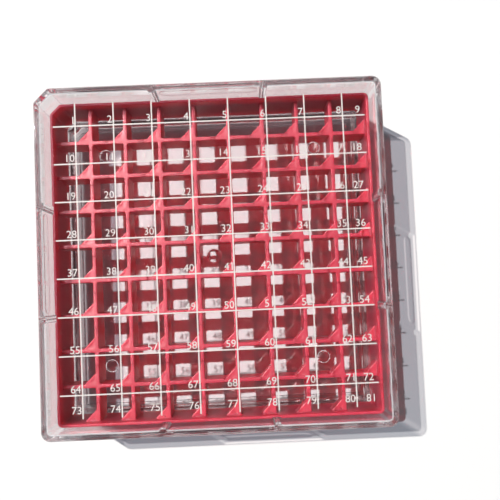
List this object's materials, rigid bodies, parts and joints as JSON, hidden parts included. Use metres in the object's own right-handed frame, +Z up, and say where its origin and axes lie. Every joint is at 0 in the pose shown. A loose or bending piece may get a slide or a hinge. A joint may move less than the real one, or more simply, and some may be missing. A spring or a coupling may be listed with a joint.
{
  "type": "cryogenic storage box",
  "caption": "Square clear box for cryogenic vials: stepped base tray, red grid divider insert and a lift-off keyed lid with a printed numbered grid.",
  "frame": {"origin": "centre of the underside, in the plane it stands on", "axes": "+Z up, +Y towards the back row (cells 1 to 9), +X to the right; the key corner is at -X +Y"},
  "size_m": [0.133, 0.133, 0.052],
  "materials": {
    "clear_polycarbonate": "clear, polished, slight surface scuffs",
    "red_polycarbonate": "semi-gloss, moulded in colour, slightly translucent",
    "white_ink": "screen-printed ink"
  },
  "bodies": {
    "base": {"base_tray": "clear_polycarbonate"},
    "insert": {"insert_frame": "red_polycarbonate", "row_wall_1": "red_polycarbonate", "row_wall_2": "red_polycarbonate", "row_wall_3": "red_polycarbonate", "row_wall_4": "red_polycarbonate", "row_wall_5": "red_polycarbonate", "row_wall_6": "red_polycarbonate", "row_wall_7": "red_polycarbonate", "row_wall_8": "red_polycarbonate", "column_wall_1": "red_polycarbonate", "column_wall_2": "red_polycarbonate", "column_wall_3": "red_polycarbonate", "column_wall_4": "red_polycarbonate", "column_wall_5": "red_polycarbonate", "column_wall_6": "red_polycarbonate", "column_wall_7": "red_polycarbonate", "column_wall_8": "red_polycarbonate", "gusset_row_1": "red_polycarbonate", "gusset_row_2": "red_polycarbonate", "gusset_row_3": "red_polycarbonate", "gusset_row_4": "red_polycarbonate", "gusset_row_5": "red_polycarbonate", "gusset_row_6": "red_polycarbonate", "gusset_row_7": "red_polycarbonate", "gusset_row_8": "red_polycarbonate", "gusset_row_9": "red_polycarbonate", "friction_beads": "red_polycarbonate"},
    "lid": {"lid": "clear_polycarbonate", "printed_grid": "white_ink"}
  },
  "joints": [
    {"name": "insert_lift", "type": "slide", "parent": "base", "child": "insert", "axis": [0, 0, 1], "range_m": [0, 0.04]},
    {"name": "lid_lift", "type": "slide", "parent": "insert", "child": "lid", "axis": [0, 0, 1], "range_m": [0, 0.06]}
  ]
}
